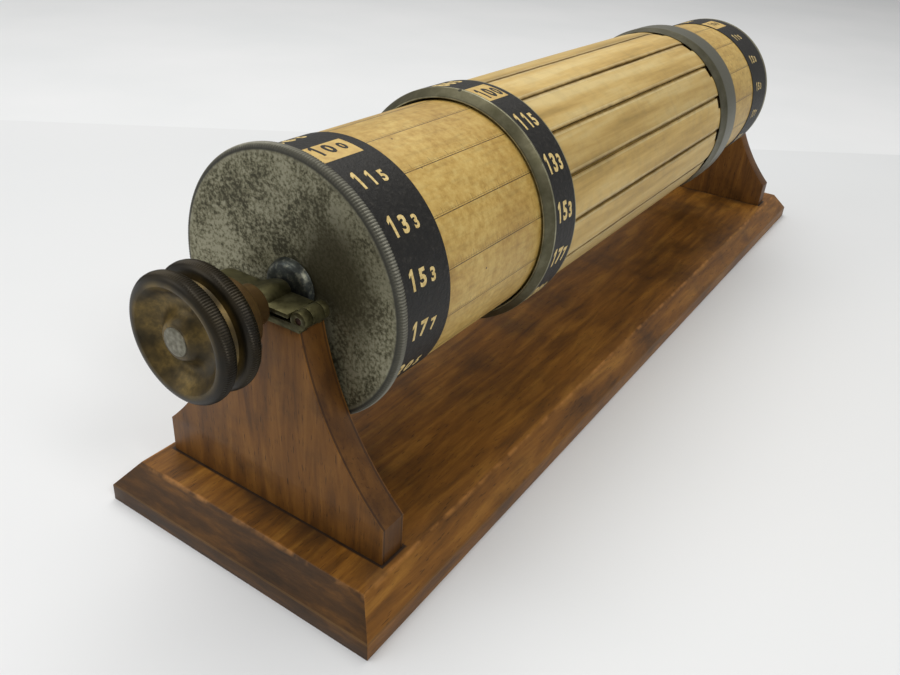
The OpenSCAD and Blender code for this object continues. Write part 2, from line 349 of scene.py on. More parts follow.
def woodMaterial(name, dark, middle, light, grainTurn, seed, coat):
    # Stained and varnished hardwood: long dark pores, soft streaks, worn satin film on top
    material, tree, shader = newMaterial(name, Coat_Weight=coat, Coat_Roughness=0.4, IOR=1.35)
    place = addNode(tree, "TexCoord").outputs["Object"]
    grain = addNode(tree, "Mapping", {"Vector": place, "Rotation": grainTurn, "Location": (seed, seed, 0)})
    streakPlace = addNode(tree, "Mapping", {"Vector": grain, "Scale": (1, 9, 9)})
    streaks = addNode(tree, "TexNoise", {"Vector": streakPlace, "Scale": 1000 / 45, "Detail": 6,
                                         "Roughness": 0.65, "Distortion": 0.5})
    poresPlace = addNode(tree, "Mapping", {"Vector": grain, "Scale": (1, 8, 8)})
    pores = addNode(tree, "TexNoise", {"Vector": poresPlace, "Scale": 1000 / 4.5, "Detail": 2})
    poreMask = addNode(tree, "ValToRGB", {"Fac": pores}, stops=[(0.3, 0.1), (0.37, 1.0)])
    blotch = addNode(tree, "TexNoise", {"Vector": grain, "Scale": 1000 / 34, "Detail": 5, "Roughness": 0.6})
    colour = addNode(tree, "ValToRGB", {"Fac": streaks}, stops=[(0.3, dark), (0.5, middle), (0.7, light)])
    porous = addNode(tree, "Mix", {0: 0.6, 6: colour, 7: poreMask}, blend_type="MULTIPLY")
    shade = addNode(tree, "ValToRGB", {"Fac": blotch}, stops=[(0.33, 0.4), (0.47, 0.85), (0.6, 1.0)])
    blotched = addNode(tree, "Mix", {0: 0.85, 6: porous, 7: shade}, blend_type="MULTIPLY")
    rough = addNode(tree, "MapRange", {"Value": blotch, "To Min": 0.42, "To Max": 0.6})
    bump = addNode(tree, "Bump", {"Height": poreMask, "Strength": 0.3, "Distance": 0.06 * mm})
    connect(tree, shader, Roughness=rough, Normal=bump)
    return material, tree, shader, blotched, place


def cloudedMaterial(name, size, stops, detail=3, breakUp=0.5, gloss=None, relief=None, **surface):
    # Colour in soft clouds, size in mm; gloss (two roughnesses) and relief (strength, mm) follow them
    material, tree, shader = newMaterial(name, **surface)
    place = addNode(tree, "TexCoord").outputs["Object"]
    cloud = addNode(tree, "TexNoise", {"Vector": place, "Scale": 1000 / size, "Detail": detail,
                                       "Roughness": breakUp})
    connect(tree, shader, Base_Color=addNode(tree, "ValToRGB", {"Fac": cloud}, stops=stops))
    if gloss:
        rough = addNode(tree, "MapRange", {"Value": cloud, "To Min": gloss[0], "To Max": gloss[1]})
        connect(tree, shader, Roughness=rough)
    if relief:
        bump = addNode(tree, "Bump", {"Height": cloud, "Strength": relief[0], "Distance": relief[1] * mm})
        connect(tree, shader, Normal=bump)
    return material


def drumCoordinates(tree):
    # x in mm, angle from the top towards the user, and radius in mm
    place = addNode(tree, "TexCoord").outputs["Object"]
    split = addNode(tree, "SeparateXYZ", {"Vector": place})
    x = addNode(tree, "Math", {0: split.outputs["X"], 1: 1 / mm}, operation="MULTIPLY")
    up = addNode(tree, "Math", {0: split.outputs["Z"], 1: axisZ}, operation="SUBTRACT")
    front = addNode(tree, "Math", {0: split.outputs["Y"], 1: -1}, operation="MULTIPLY")
    angle = addNode(tree, "Math", {0: front, 1: up}, operation="ARCTAN2")
    flat = addNode(tree, "CombineXYZ", {"X": front, "Y": up})
    length = addNode(tree, "VectorMath", {0: flat}, operation="LENGTH").outputs["Value"]
    radius = addNode(tree, "Math", {0: length, 1: 1 / mm}, operation="MULTIPLY")
    return place, x, angle, radius


# widths and heights in mm, and how dark each kind of line is
ruling = {"line": 0.28, "second": 0.75, "secondHalf": 0.1, "secondInk": 0.5, "tickInk": 0.7,
          "ticks": ((0.002, 1.3, 0.06), (0.01, 2.4, 0.08))}


def scaleLines(tree, x, angle, line, startX, rowLength, radius):
    # Ruled line of each row with its divisions above it, closing up as on a logarithmic scale
    turn = addNode(tree, "Math", {0: angle, 1: 1 / rowAngle, 2: -line / rowAngle}, operation="MULTIPLY_ADD")
    share = addNode(tree, "Math", {0: turn}, operation="FRACT")
    row = addNode(tree, "Math", {0: addNode(tree, "Math", {0: turn}, operation="CEIL"), 1: rowCount, 2: 0.0},
                  operation="WRAP")
    along = addNode(tree, "Math", {0: x, 1: 1 / rowLength, 2: -startX / rowLength}, operation="MULTIPLY_ADD")
    power = addNode(tree, "Math", {0: row, 1: along}, operation="ADD")
    power = addNode(tree, "Math", {0: power, 1: rowCount}, operation="DIVIDE")
    value = addNode(tree, "Math", {0: 10.0, 1: power}, operation="POWER")
    mmPerUnit = rowLength * rowCount / math.log(10)
    height = addNode(tree, "Math", {0: share, 1: -rowAngle * radius, 2: rowAngle * radius},
                     operation="MULTIPLY_ADD")
    marks = addNode(tree, "Math", {0: height, 1: ruling["line"]}, operation="LESS_THAN")
    second = addNode(tree, "Math", {0: height, 1: ruling["second"], 2: ruling["secondHalf"]},
                     operation="COMPARE")
    marks = addNode(tree, "Math", {0: second, 1: ruling["secondInk"], 2: marks}, operation="MULTIPLY_ADD")
    for division, reach, width in ruling["ticks"]:
        # divisions of 0.2 and 1, in hundredths of the row's first value
        gap = addNode(tree, "Math", {0: value, 1: division / 2}, operation="PINGPONG")
        gap = addNode(tree, "Math", {0: gap, 1: mmPerUnit}, operation="MULTIPLY")
        gap = addNode(tree, "Math", {0: gap, 1: value}, operation="DIVIDE")
        thin = addNode(tree, "Math", {0: gap, 1: width}, operation="LESS_THAN")
        short = addNode(tree, "Math", {0: height, 1: reach}, operation="LESS_THAN")
        tick = addNode(tree, "Math", {0: thin, 1: short}, operation="MULTIPLY")
        tick = addNode(tree, "Math", {0: tick, 1: ruling["tickInk"]}, operation="MULTIPLY")
        marks = addNode(tree, "Math", {0: marks, 1: tick}, operation="MAXIMUM")
    return marks, height


print("shapes: stand")

# Base: stained hardwood board with bevelled edges, grain along X
base = {"edge": 0.5, "wear": 0.22, "bevel": 7.2, "sideTop": 6.0,
        "dark": "#55350f", "middle": "#7c5018", "light": "#9c6d29"}
baseWood, tree, shader, colour, place = woodMaterial(
    "stainedBeechBoard", base["dark"], base["middle"], base["light"], (0, 0, 0), 0.3, 0.05)
split = addNode(tree, "SeparateXYZ", {"Vector": place})
endX, sideY, topZ = high("base_board")
xShare = addNode(tree, "Math", {0: split.outputs["X"]}, operation="ABSOLUTE")
yShare = addNode(tree, "Math", {0: split.outputs["Y"]}, operation="ABSOLUTE")
ridgeX = addNode(tree, "Math", {0: xShare, 1: endX - base["bevel"] * mm}, operation="SUBTRACT")
ridgeY = addNode(tree, "Math", {0: yShare, 1: sideY - base["bevel"] * mm}, operation="SUBTRACT")
# end grain on the bevels across the board, streaked along Y and darkened: stain plus painted shade on the end
# bevels
endMask = addNode(tree, "MapRange", {"Value": ridgeX, "From Min": -0.2 * mm, "From Max": 0.2 * mm})
acrossEnd = addNode(tree, "Math", {0: ridgeX, 1: ridgeY}, operation="GREATER_THAN")
endMask = addNode(tree, "Math", {0: endMask, 1: acrossEnd}, operation="MULTIPLY")
endPlace = addNode(tree, "Mapping", {"Vector": place, "Scale": (6, 1, 6)})
endGrain = addNode(tree, "TexNoise", {"Vector": endPlace, "Scale": 1000 / 24, "Detail": 7, "Roughness": 0.7})
endColour = addNode(tree, "ValToRGB", {"Fac": endGrain},
                    stops=[(0.3, "#2a1a05"), (0.5, "#442b0c"), (0.68, "#634012")])
mixed = addNode(tree, "Mix", {0: endMask, 6: colour, 7: endColour})
# worn line between the bevel and the upright side of the board
worn = addNode(tree, "Math", {0: split.outputs["Z"], 1: base["sideTop"] * mm, 2: 0.3 * mm},
               operation="COMPARE")
worn = addNode(tree, "Math", {0: worn, 1: endGrain}, operation="MULTIPLY")
mixed = addNode(tree, "Mix", {0: worn, 6: mixed, 7: "#6b5130"})
# rubbed ridge round the top, broken up by the noise
ridge = addNode(tree, "Math", {0: ridgeX, 1: ridgeY}, operation="MAXIMUM")
ridge = addNode(tree, "Math", {0: ridge}, operation="ABSOLUTE")
ridge = addNode(tree, "MapRange", {"Value": ridge, "From Min": 0.9 * mm, "From Max": 0.2 * mm})
rub = addNode(tree, "TexNoise", {"Vector": place, "Scale": 1000 / 6, "Detail": 4})
rub = addNode(tree, "MapRange", {"Value": rub, "From Min": 0.42, "From Max": 0.6, "To Max": 0.6})
rubbed = addNode(tree, "Math", {0: ridge, 1: rub}, operation="MULTIPLY")
mixed = addNode(tree, "Mix", {0: rubbed, 6: mixed, 7: "#b07a3c"})
# round the foot of each upright: a painted shadow line in the seam, and darker patches growing towards the
# foot, painted shade and dirt
footDistance = None
for end in ("near", "far"):
    foot0, foot1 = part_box(end + "_upright")
    offX = addNode(tree, "Math", {0: split.outputs["X"], 1: (foot0.x + foot1.x) / 2}, operation="SUBTRACT")
    offX = addNode(tree, "Math", {0: offX}, operation="ABSOLUTE")
    offX = addNode(tree, "Math", {0: offX, 1: (foot1.x - foot0.x) / 2}, operation="SUBTRACT")
    offY = addNode(tree, "Math", {0: yShare, 1: foot1.y}, operation="SUBTRACT")
    off = addNode(tree, "Math", {0: offX, 1: offY}, operation="MAXIMUM")
    footDistance = addNode(tree, "Math", {0: off, 1: footDistance}, operation="MINIMUM") if footDistance else off
# painted shadow line in the seam, then painted shade with dirt growing towards the foot
seamShadow = addNode(tree, "MapRange", {"Value": footDistance, "From Min": 1.3 * mm, "From Max": 0.7 * mm})
shadeAndDirt = addNode(tree, "MapRange", {"Value": footDistance, "From Min": 9 * mm, "From Max": 1 * mm, "To Max": 0.75})
patch = addNode(tree, "TexNoise", {"Vector": place, "Scale": 1000 / 18, "Detail": 5})
patch = addNode(tree, "MapRange", {"Value": patch, "From Min": 0.42, "From Max": 0.62})
shadeAndDirt = addNode(tree, "Math", {0: shadeAndDirt, 1: patch}, operation="MULTIPLY")
shadeAndDirt = addNode(tree, "Math", {0: shadeAndDirt, 1: seamShadow}, operation="MAXIMUM")
onTop = addNode(tree, "MapRange", {"Value": split.outputs["Z"], "From Min": topZ - 0.8 * mm,
                                   "From Max": topZ - 0.4 * mm})
shadeAndDirt = addNode(tree, "Math", {0: shadeAndDirt, 1: onTop}, operation="MULTIPLY")
mixed = addNode(tree, "Mix", {0: shadeAndDirt, 6: mixed, 7: "#2a1c10"})
connect(tree, shader, Base_Color=mixed)
board = softened("base_board", base["edge"], cuts=((0, 15), (1, 12)), wear=base["wear"])
finishPiece(board, "base_board_finished", baseWood, "stand", "base_wood", "base_board")

# Uprights: same wood, grain upright
upright = {"edge": 0.45, "wear": 0.1, "dark": "#533312", "middle": "#734a19", "light": "#8a5d25"}
uprightWood, tree, shader, colour, place = woodMaterial(
    "stainedBeechUpright", upright["dark"], upright["middle"], upright["light"],
    (0, math.pi / 2, 0), 0.7, 0.04)
# the narrow sides are painted darker, as shade, with a dark line along each corner
split = addNode(tree, "SeparateXYZ", {"Vector": place})
sides = None
for end in ("near", "far"):
    start, stop = low(end + "_upright").x, high(end + "_upright").x
    middle, halfThick = (start + stop) / 2, (stop - start) / 2
    onSide = addNode(tree, "Math", {0: split.outputs["X"], 1: middle}, operation="SUBTRACT")
    onSide = addNode(tree, "Math", {0: onSide}, operation="ABSOLUTE")
    sides = addNode(tree, "Math", {0: onSide, 1: sides}, operation="MINIMUM") if sides else onSide
sideShade = addNode(tree, "MapRange", {"Value": sides, "From Min": halfThick - 0.3 * mm,
                                    "From Max": halfThick - 0.6 * mm, "To Max": 0.42})
colour = addNode(tree, "Mix", {0: sideShade, 6: colour, 7: "#3a220d"})
corner = addNode(tree, "Math", {0: sides, 1: halfThick - 0.75 * mm, 2: 0.35 * mm}, operation="COMPARE")
corner = addNode(tree, "Math", {0: corner, 1: 0.6}, operation="MULTIPLY")
colour = addNode(tree, "Mix", {0: corner, 6: colour, 7: "#24150a"})
connect(tree, shader, Base_Color=colour)
for end in ("near", "far"):
    piece = softened(end + "_upright", upright["edge"], cuts=((2, 8),), wear=upright["wear"])
    finishPiece(piece, end + "_upright_finished", uprightWood, "stand", "upright_wood", end + "_upright")

# Bearings: nickel silver gone dull olive with handling, with soft gloss on the edges
bearingEdge = 0.25
nickelSilver = cloudedMaterial("tarnishedNickelSilver", 5, [(0.35, "#45422a"), (0.65, "#74704f")], detail=4,
                               breakUp=0.6, gloss=(0.3, 0.5), Metallic=0.85)
for end in ("near", "far"):
    for node, body in ((end + "_bearing_plate", "stand"), (end + "_keeper", end + "_keeper")):
        piece = softened(node, bearingEdge)
        finishPiece(piece, node + "_finished", nickelSilver, body, "nickel_silver", node)

# Small turned parts: bright steel with a brownish bloom
steel = cloudedMaterial("turnedSteel", 3, [(0.3, "#5c5a52"), (0.7, "#908d84")], Metallic=1.0, Roughness=0.35)
dress(steel, "spindle", "upright_screws")

# Collars: turned steel gone grey-green, rounded at the front edge
bluedSteel = cloudedMaterial("agedBluedSteel", 2.2, [(0.3, "#2a2d2c"), (0.52, "#434744"), (0.66, "#76776a")],
                             detail=5, breakUp=0.65, gloss=(0.3, 0.5), Metallic=0.85)
dress(bluedSteel, "collar_screws")
for end, way in (("near", 1), ("far", -1)):
    node = end + "_collar"
    front, rear = (startOf(node), endOf(node))[::way]
    collarR = radiusOf(node)
    outline = [(front, 2.5), (front, collarR - 1.9), (front + way * 0.25, collarR - 1.3),
               (front + way * 0.7, collarR - 0.75), (front + way * 1.3, collarR - 0.35),
               (front + way * 2.4, collarR - 0.1), (rear - way * 0.4, collarR), (rear, collarR - 0.25),
               (rear, 2.5)]
    finishPiece(turned(outline, 96), node + "_finished", bluedSteel, "drum", "blued_steel", node)

# Screws: yellow brass; hinge pins: brass gone red-brown
screwBrass = cloudedMaterial("turnedBrass", 2, [(0.3, "#6d5428"), (0.7, "#a98a4b")], Metallic=1.0,
                             Roughness=0.38)
dress(screwBrass, "bearing_plate_screws")
pinMetal = cloudedMaterial("tarnishedPinBrass", 1, [(0.3, "#2c1a14"), (0.7, "#54372a")], Metallic=0.8,
                           Roughness=0.5)
dress(pinMetal, "near_hinge_pin", "far_hinge_pin")

print("shapes: knob and discs")

# Knob: dark patinated brass, rubbed bright on its edges, with fine straight knurling
knob = {"steps": 300, "knurlDepth": 0.22, "knurlFrom": 17.1, "flangeR": 18.0, "flangeStep": 8.1,
        "rivetR": 4.0}
x0 = startOf("control_knob")
flangeR = knob["flangeR"]
dish = [(0.6, 2.5), (0.6, 4.6), (0.9, 5.2), (2.4, 6.2), (3.9, 7.4), (4.5, 8.8), (4.3, 10.4), (3.3, 12.0),
        (1.8, 13.3), (0.7, 14.1), (0.15, 14.6)]
rim = [(0, 15.2), (0.15, 16.4), (0.65, 17.3), (1.5, 17.85), (2.55, flangeR), (3.6, 17.85), (4.45, 17.3),
       (4.95, 16.4), (5.1, 15.4)]
neck = [(5.3, 14.2), (6.6, 13.6), (7.9, 14.2)]
hub = [(13.3, 12.9), (13.9, 12.0), (14.3, 11.2), (15.4, 11.0), (17.8, 11.0), (19.6, 10.6), (20.4, 9.8),
       (20.8, 8.6), (20.9, 6.2), (21.5, 6.0), (26.6, 6.0), (27.0, 5.6), (27.0, 2.5)]
knobPiece = turned(shifted(dish + rim + neck + shifted(rim, knob["flangeStep"]) + hub, x0), knob["steps"])
mill(knobPiece, knob["steps"], knob["knurlFrom"], x0 - 1, x0 + 14, knob["knurlDepth"])

knobBrass, tree, shader = newMaterial("patinatedBrass", Metallic=0.6)
place, x, angle, radius = drumCoordinates(tree)
cloud = addNode(tree, "TexNoise", {"Vector": place, "Scale": 1000 / 9, "Detail": 4, "Roughness": 0.55})
rub = addNode(tree, "TexNoise", {"Vector": place, "Scale": 1000 / 1.5, "Detail": 4, "Roughness": 0.6})
patina = addNode(tree, "ValToRGB", {"Fac": cloud},
                 stops=[(0.35, "#2c2513"), (0.5, "#463a1f"), (0.7, "#63532c")])
# rubbed gold in soft patches on the dish and the hub, and on the crests of the knurling
inDish = addNode(tree, "MapRange", {"Value": radius, "From Min": 15.5, "From Max": 13.0})
crest = addNode(tree, "MapRange", {"Value": radius, "From Min": flangeR - 0.25, "From Max": flangeR - 0.05,
                                   "To Max": 0.35})
rubbed = addNode(tree, "Math", {0: inDish, 1: crest}, operation="MAXIMUM")
patch = addNode(tree, "MapRange", {"Value": cloud, "From Min": 0.45, "From Max": 0.85})
fine = addNode(tree, "MapRange", {"Value": rub, "From Min": 0.38, "From Max": 0.7})
gold = addNode(tree, "Math", {0: patch, 1: fine}, operation="MULTIPLY")
gold = addNode(tree, "Math", {0: gold, 1: rubbed}, operation="MULTIPLY")
colour = addNode(tree, "Mix", {0: gold, 6: patina, 7: "#a08345"})
# the rims and the neck between them stay nearly black
inNeck = addNode(tree, "MapRange", {"Value": radius, "From Min": 15.0, "From Max": 16.2, "To Max": 0.85})
colour = addNode(tree, "Mix", {0: inNeck, 6: colour, 7: "#191610"})
# the hub is browner
atHub = addNode(tree, "MapRange", {"Value": x, "From Min": x0 + 14.0, "From Max": x0 + 15.5, "To Max": 0.75})
colour = addNode(tree, "Mix", {0: atHub, 6: colour, 7: "#5c4424"})
rough = addNode(tree, "MapRange", {"Value": cloud, "To Min": 0.32, "To Max": 0.5})
connect(tree, shader, Base_Color=colour, Roughness=rough)
finishPiece(knobPiece, "knob_turned", knobBrass, "drum", "knob_brass", "control_knob")

# Rivet: spindle end peened over the knob, dented and grey
rivetMetal = cloudedMaterial("peenedSteel", 1.4, [(0.3, "#5d5a4c"), (0.7, "#8b887a")], relief=(0.5, 0.2),
                             Metallic=0.9, Roughness=0.45)
rivet = turned(shifted([(0.75, 0.2), (0.75, knob["rivetR"]), (0.35, 3.9), (0.1, 3.2), (0.02, 2.4),
                        (0.05, 1.2), (0.05, 0.2)], x0), 48, closed=False)
finishPiece(rivet, "rivet_peened", rivetMetal, "drum", "rivet_metal", "knob_rivet")

# End discs: tinned steel sheet, corroded in dark specks, with a milled rim of darker metal
disc = {"steps": 576, "millDepth": 0.3, "millWidth": 2.2, "reflectionTurn": 1.1, "farSteps": 192}
discX, backX = startOf("near_end_disc"), endOf("near_end_disc")
discR = radiusOf("near_end_disc")
tinnedSteel, tree, shader = newMaterial("corrodedTinPlate", Metallic=0.65)
place, x, angle, radius = drumCoordinates(tree)
area = addNode(tree, "TexNoise", {"Vector": place, "Scale": 1000 / 24, "Detail": 2})
speck = addNode(tree, "TexNoise", {"Vector": place, "Scale": 1000 / 1.1, "Detail": 2, "Roughness": 0.6})
fleck = addNode(tree, "TexNoise", {"Vector": place, "Scale": 1000 / 0.45, "Detail": 2})
zone = addNode(tree, "TexNoise", {"Vector": place, "Scale": 1000 / 11, "Detail": 3, "Roughness": 0.6})
mark = addNode(tree, "Math", {0: fleck, 1: 0.35, 2: speck}, operation="MULTIPLY_ADD")
mark = addNode(tree, "Math", {0: zone, 1: 0.8, 2: mark}, operation="MULTIPLY_ADD")
colour = addNode(tree, "ValToRGB", {"Fac": addNode(tree, "Math", {0: mark, 1: 0.7}, operation="SUBTRACT")},
                 stops=[(0.22, "#94917a"), (0.36, "#7e7b63"), (0.46, "#625f4a"), (0.57, "#454231")])
# painted reflection: a smooth dark olive zone towards the centre, the dark part of the dished face's
# reflection
aside = addNode(tree, "Math", {0: angle, 1: disc["reflectionTurn"]}, operation="SUBTRACT")
aside = addNode(tree, "Math", {0: aside}, operation="ABSOLUTE")
aside = addNode(tree, "Math", {0: area, 1: -1.2, 2: aside}, operation="MULTIPLY_ADD")
outwards = addNode(tree, "MapRange", {"Value": radius, "From Min": 36, "From Max": 26})
paintedReflection = addNode(tree, "MapRange", {"Value": aside, "From Min": 0.35, "From Max": -0.35, "To Max": 0.85})
paintedReflection = addNode(tree, "Math", {0: paintedReflection, 1: outwards}, operation="MULTIPLY")
colour = addNode(tree, "Mix", {0: paintedReflection, 6: colour, 7: "#3f3a25"})
# rubbed line between the face and the rim, then the darker rim with a painted highlight along its crest
worn = addNode(tree, "MapRange", {"Value": radius, "From Min": discR - 3.1, "From Max": discR - 2.4,
                                  "To Max": 0.8})
worn = addNode(tree, "Math", {0: worn, 1: zone}, operation="MULTIPLY")
colour = addNode(tree, "Mix", {0: worn, 6: colour, 7: "#8d8a74"})
rimShare = addNode(tree, "MapRange", {"Value": radius, "From Min": discR - 2.1, "From Max": discR - 1.6})
# painted highlight: the rim lightens towards its crest
crest = addNode(tree, "MapRange", {"Value": radius, "From Min": discR - 1.5, "From Max": discR - 0.05})
rimColour = addNode(tree, "ValToRGB", {"Fac": crest},
                    stops=[(0.1, "#403f38"), (0.75, "#5b5a50"), (0.95, "#86857a")])
colour = addNode(tree, "Mix", {0: rimShare, 6: colour, 7: rimColour})
rough = addNode(tree, "MapRange", {"Value": mark, "From Min": 0.8, "From Max": 1.1, "To Min": 0.38,
                                   "To Max": 0.6})
bump = addNode(tree, "Bump", {"Height": mark, "Strength": 0.25, "Distance": 0.12 * mm})
connect(tree, shader, Base_Color=colour, Roughness=rough, Normal=bump)

dished = [(2.95, 2.5), (2.95, 8.6), (2.7, 10.5), (1.6, 20), (0.7, 30), (0.25, 36)]
bead = [(0.1, -2.6), (0.0, -2.0), (0.15, -1.15), (0.55, -0.5), (1.2, -0.1), (2.0, 0), (2.8, -0.1),
        (3.45, -0.5), (3.85, -1.15)]
outline = shifted(dished + [(along, discR + out) for along, out in bead], discX)
nearDisc = turned(outline + [(backX, discR - 2.0), (backX, 2.5)], disc["steps"])
mill(nearDisc, disc["steps"], discR - disc["millWidth"], discX - 1, backX + 1, disc["millDepth"])
finishPiece(nearDisc, "near_disc_milled", tinnedSteel, "drum", "tinned_steel", "near_end_disc")

farX, farBack = endOf("far_end_disc"), startOf("far_end_disc")
farR = radiusOf("far_end_disc")
face = [(-1.4, farR), (-0.6, farR - 0.2), (-0.15, farR - 0.7), (0, farR - 1.6), (-0.5, 30), (-0.9, 12),
        (0, 9), (0, 2.5)]
outline = [(farBack, 2.5), (farBack, farR)] + shifted(face, farX)
finishPiece(turned(outline, disc["farSteps"]), "far_disc_turned", tinnedSteel, "drum", "tinned_steel",
            "far_end_disc")

print("shapes: drum")

# Scale sheet: printed paper under old yellow varnish
roundSteps = 256
sheetX0, sheetX1 = startOf("drum_scale_sheet"), endOf("drum_scale_sheet")
sheetR = radiusOf("drum_scale_sheet")
sheetPiece = turned([(sheetX0, sheetR - 0.38), (sheetX0, sheetR), (sheetX1, sheetR),
                     (sheetX1, sheetR - 0.38)], roundSteps)
paper, tree, shader = newMaterial("varnishedScalePaper", Coat_Weight=0.2, Coat_Roughness=0.35, IOR=1.45)
place, x, angle, radius = drumCoordinates(tree)
bandEnd = endOf("near_number_band")
rowLength = (startOf("far_number_band") - bandEnd) / 2
marks, height = scaleLines(tree, x, angle, figures["drumLine"], bandEnd, rowLength, sheetR)
mottle = addNode(tree, "TexNoise", {"Vector": place, "Scale": 1000 / 2.6, "Detail": 6, "Roughness": 0.65})
fibrePlace = addNode(tree, "Mapping", {"Vector": place, "Scale": (0.12, 1, 1)})
fibre = addNode(tree, "TexNoise", {"Vector": fibrePlace, "Scale": 1000 / 1.4, "Detail": 4, "Roughness": 0.6})
broad = addNode(tree, "TexNoise", {"Vector": place, "Scale": 1000 / 34, "Detail": 2})
colour = addNode(tree, "ValToRGB", {"Fac": mottle},
                 stops=[(0.33, "#b18f45"), (0.46, "#c09f54"), (0.66, "#cfb369")])
shade = addNode(tree, "ValToRGB", {"Fac": fibre}, stops=[(0.3, 0.72), (0.5, 0.95), (0.65, 1.0)])
colour = addNode(tree, "Mix", {0: 0.65, 6: colour, 7: shade}, blend_type="MULTIPLY")
stain = addNode(tree, "ValToRGB", {"Fac": broad}, stops=[(0.35, "#d2c193"), (0.6, "#ffffff")])
colour = addNode(tree, "Mix", {0: 0.6, 6: colour, 7: stain}, blend_type="MULTIPLY")
worn = addNode(tree, "MapRange", {"Value": mottle, "From Min": 0.34, "From Max": 0.5, "To Min": 0.5,
                                  "To Max": 0.95})
ink = addNode(tree, "Math", {0: marks, 1: worn}, operation="MULTIPLY")
colour = addNode(tree, "Mix", {0: ink, 6: colour, 7: "#3c2a12"})
speck = addNode(tree, "TexVoronoi", {"Vector": place, "Scale": 1000 / 6})
size = addNode(tree, "MapRange", {"Value": broad, "From Min": 0.4, "From Max": 0.6, "To Max": 0.07})
spot = addNode(tree, "Math", {0: speck.outputs["Distance"], 1: size}, operation="LESS_THAN")
colour = addNode(tree, "Mix", {0: spot, 6: colour, 7: "#5a4526"})
rough = addNode(tree, "MapRange", {"Value": mottle, "To Min": 0.42, "To Max": 0.62})
bump = addNode(tree, "Bump", {"Height": fibre, "Strength": 0.5, "Distance": 0.1 * mm})
connect(tree, shader, Base_Color=colour, Roughness=rough, Normal=bump)
finishPiece(sheetPiece, "drum_sheet_printed", paper, "drum", "scale_paper", "drum_scale_sheet")

# Number bands: black paper with a leathery grain, cream figures, and a buff field for the first row
blackPaper = cloudedMaterial("blackPrintedPaper", 1.6,
                             [(0.35, "#101010"), (0.58, "#1b1a18"), (0.72, "#353330")], detail=4,
                             breakUp=0.65, gloss=(0.45, 0.65), relief=(1.0, 0.35), IOR=1.4)
creamPrint = cloudedMaterial("creamPrint", 0.9, [(0.3, "#c3a765"), (0.55, "#dcc485"), (0.8, "#ead7a0")],
                             Roughness=0.55, IOR=1.45)
boxPrint = cloudedMaterial("buffPrint", 2.5, [(0.3, "#b8975a"), (0.6, "#cdb06a")], detail=4, Roughness=0.55,
                           IOR=1.45)

bands = {
    "near": {"line": figures["drumLine"], "heights": (6.2, 5.3, 4.1),
             "centres": (-184.6, -180.0, -175.4), "box": (-189.2, -172), "below": 2.9, "boxHeight": 9.1,
             "body": "drum", "narrowing": 0.92},
    "far": {"line": figures["drumLine"], "heights": (4.8, 4.2, 3.4),
            "centres": (137, 140.8, 144.6), "box": (131.2, 148.4), "below": 2.9, "boxHeight": 9.1,
            "body": "drum", "narrowing": 0.92},
    "sleeve": {"line": figures["ringLine"], "heights": (7.1, 6.6, 5.5),
               "centres": (-108.2, -104.2, -100.5), "box": (-110.5, -98.6), "below": 1.2, "boxHeight": 10.2,
               "body": "sleeve", "narrowing": 0.74},
}
for end, band in bands.items():
    node = end + "_number_band"
    bandX0, bandX1, bandR = startOf(node), endOf(node), radiusOf(node)
    piece = turned([(bandX0, bandR - 0.2), (bandX0, bandR), (bandX1, bandR), (bandX1, bandR - 0.2)],
                   roundSteps)
    finishPiece(piece, end + "_band_printed", blackPaper, band["body"], "black_paper", node)
    first, others = printedFigures(band["heights"], band["centres"], band["narrowing"], band["line"],
                                   bandR + 0.02)
    for vertex in first.data.vertices:
        side = Vector((0, vertex.co.y, vertex.co.z - axisZ)).normalized()
        vertex.co += side * 0.03 * mm
    finishPiece(first, end + "_first_figures", blackPaper, band["body"], "black_paper")
    finishPiece(others, end + "_figures", creamPrint, band["body"], "black_paper")
    box = printedBox(*band["box"], band["line"], band["below"], band["boxHeight"], bandR + 0.01)
    finishPiece(box, end + "_first_field", boxPrint, band["body"], "black_paper")

# Inside the drum: dull brown card tube, pale lime wood plugs
card = cloudedMaterial("rolledCard", 1.5, [(0.3, "#8a7048"), (0.7, "#a5885a")], detail=4, Roughness=0.9,
                       IOR=1.45)
dress(card, "drum_tube")
plugWood, tree, shader, colour, place = woodMaterial("turnedLimeWood", "#8a6a42", "#a38052", "#b8966a",
                                                     (0, 0, 0), 0.1, 0.5)
connect(tree, shader, Base_Color=colour)
dress(plugWood, "near_end_plug", "far_end_plug")

print("shapes: sleeve")

# Rings: dull zinc grey sheet metal, with painted highlight lines along the edges
ring = {"boreR": 39.6, "lipR": 38.8, "slatR": 40.75, "markR": 41.7, "markTurn": math.radians(1.4)}
ringX0, ringX1 = startOf("near_sleeve_ring"), endOf("near_sleeve_ring")
farX0, farX1 = startOf("far_sleeve_ring"), endOf("far_sleeve_ring")
ringR = radiusOf("near_sleeve_ring")
ringMetal, tree, shader = newMaterial("dullZincSheet", Metallic=0.7)
place, x, angle, radius = drumCoordinates(tree)
cloud = addNode(tree, "TexNoise", {"Vector": place, "Scale": 1000 / 7, "Detail": 5, "Roughness": 0.65})
scratch = addNode(tree, "TexNoise", {"Vector": place, "Scale": 1000 / 0.9, "Detail": 3})
colour = addNode(tree, "ValToRGB", {"Fac": cloud},
                 stops=[(0.3, "#47452f"), (0.52, "#575440"), (0.75, "#6b6852")])
# painted light: the far ring's outer cylinder gets a grey of its own, to read as lit differently from the
# olive slope
atFar = addNode(tree, "Math", {0: x, 1: farX0}, operation="GREATER_THAN")
outside = addNode(tree, "Math", {0: radius, 1: ringR - 0.16}, operation="GREATER_THAN")
grey = addNode(tree, "Math", {0: atFar, 1: outside}, operation="MULTIPLY")
colour = addNode(tree, "Mix", {0: grey, 6: colour, 7: "#6d6d61"})
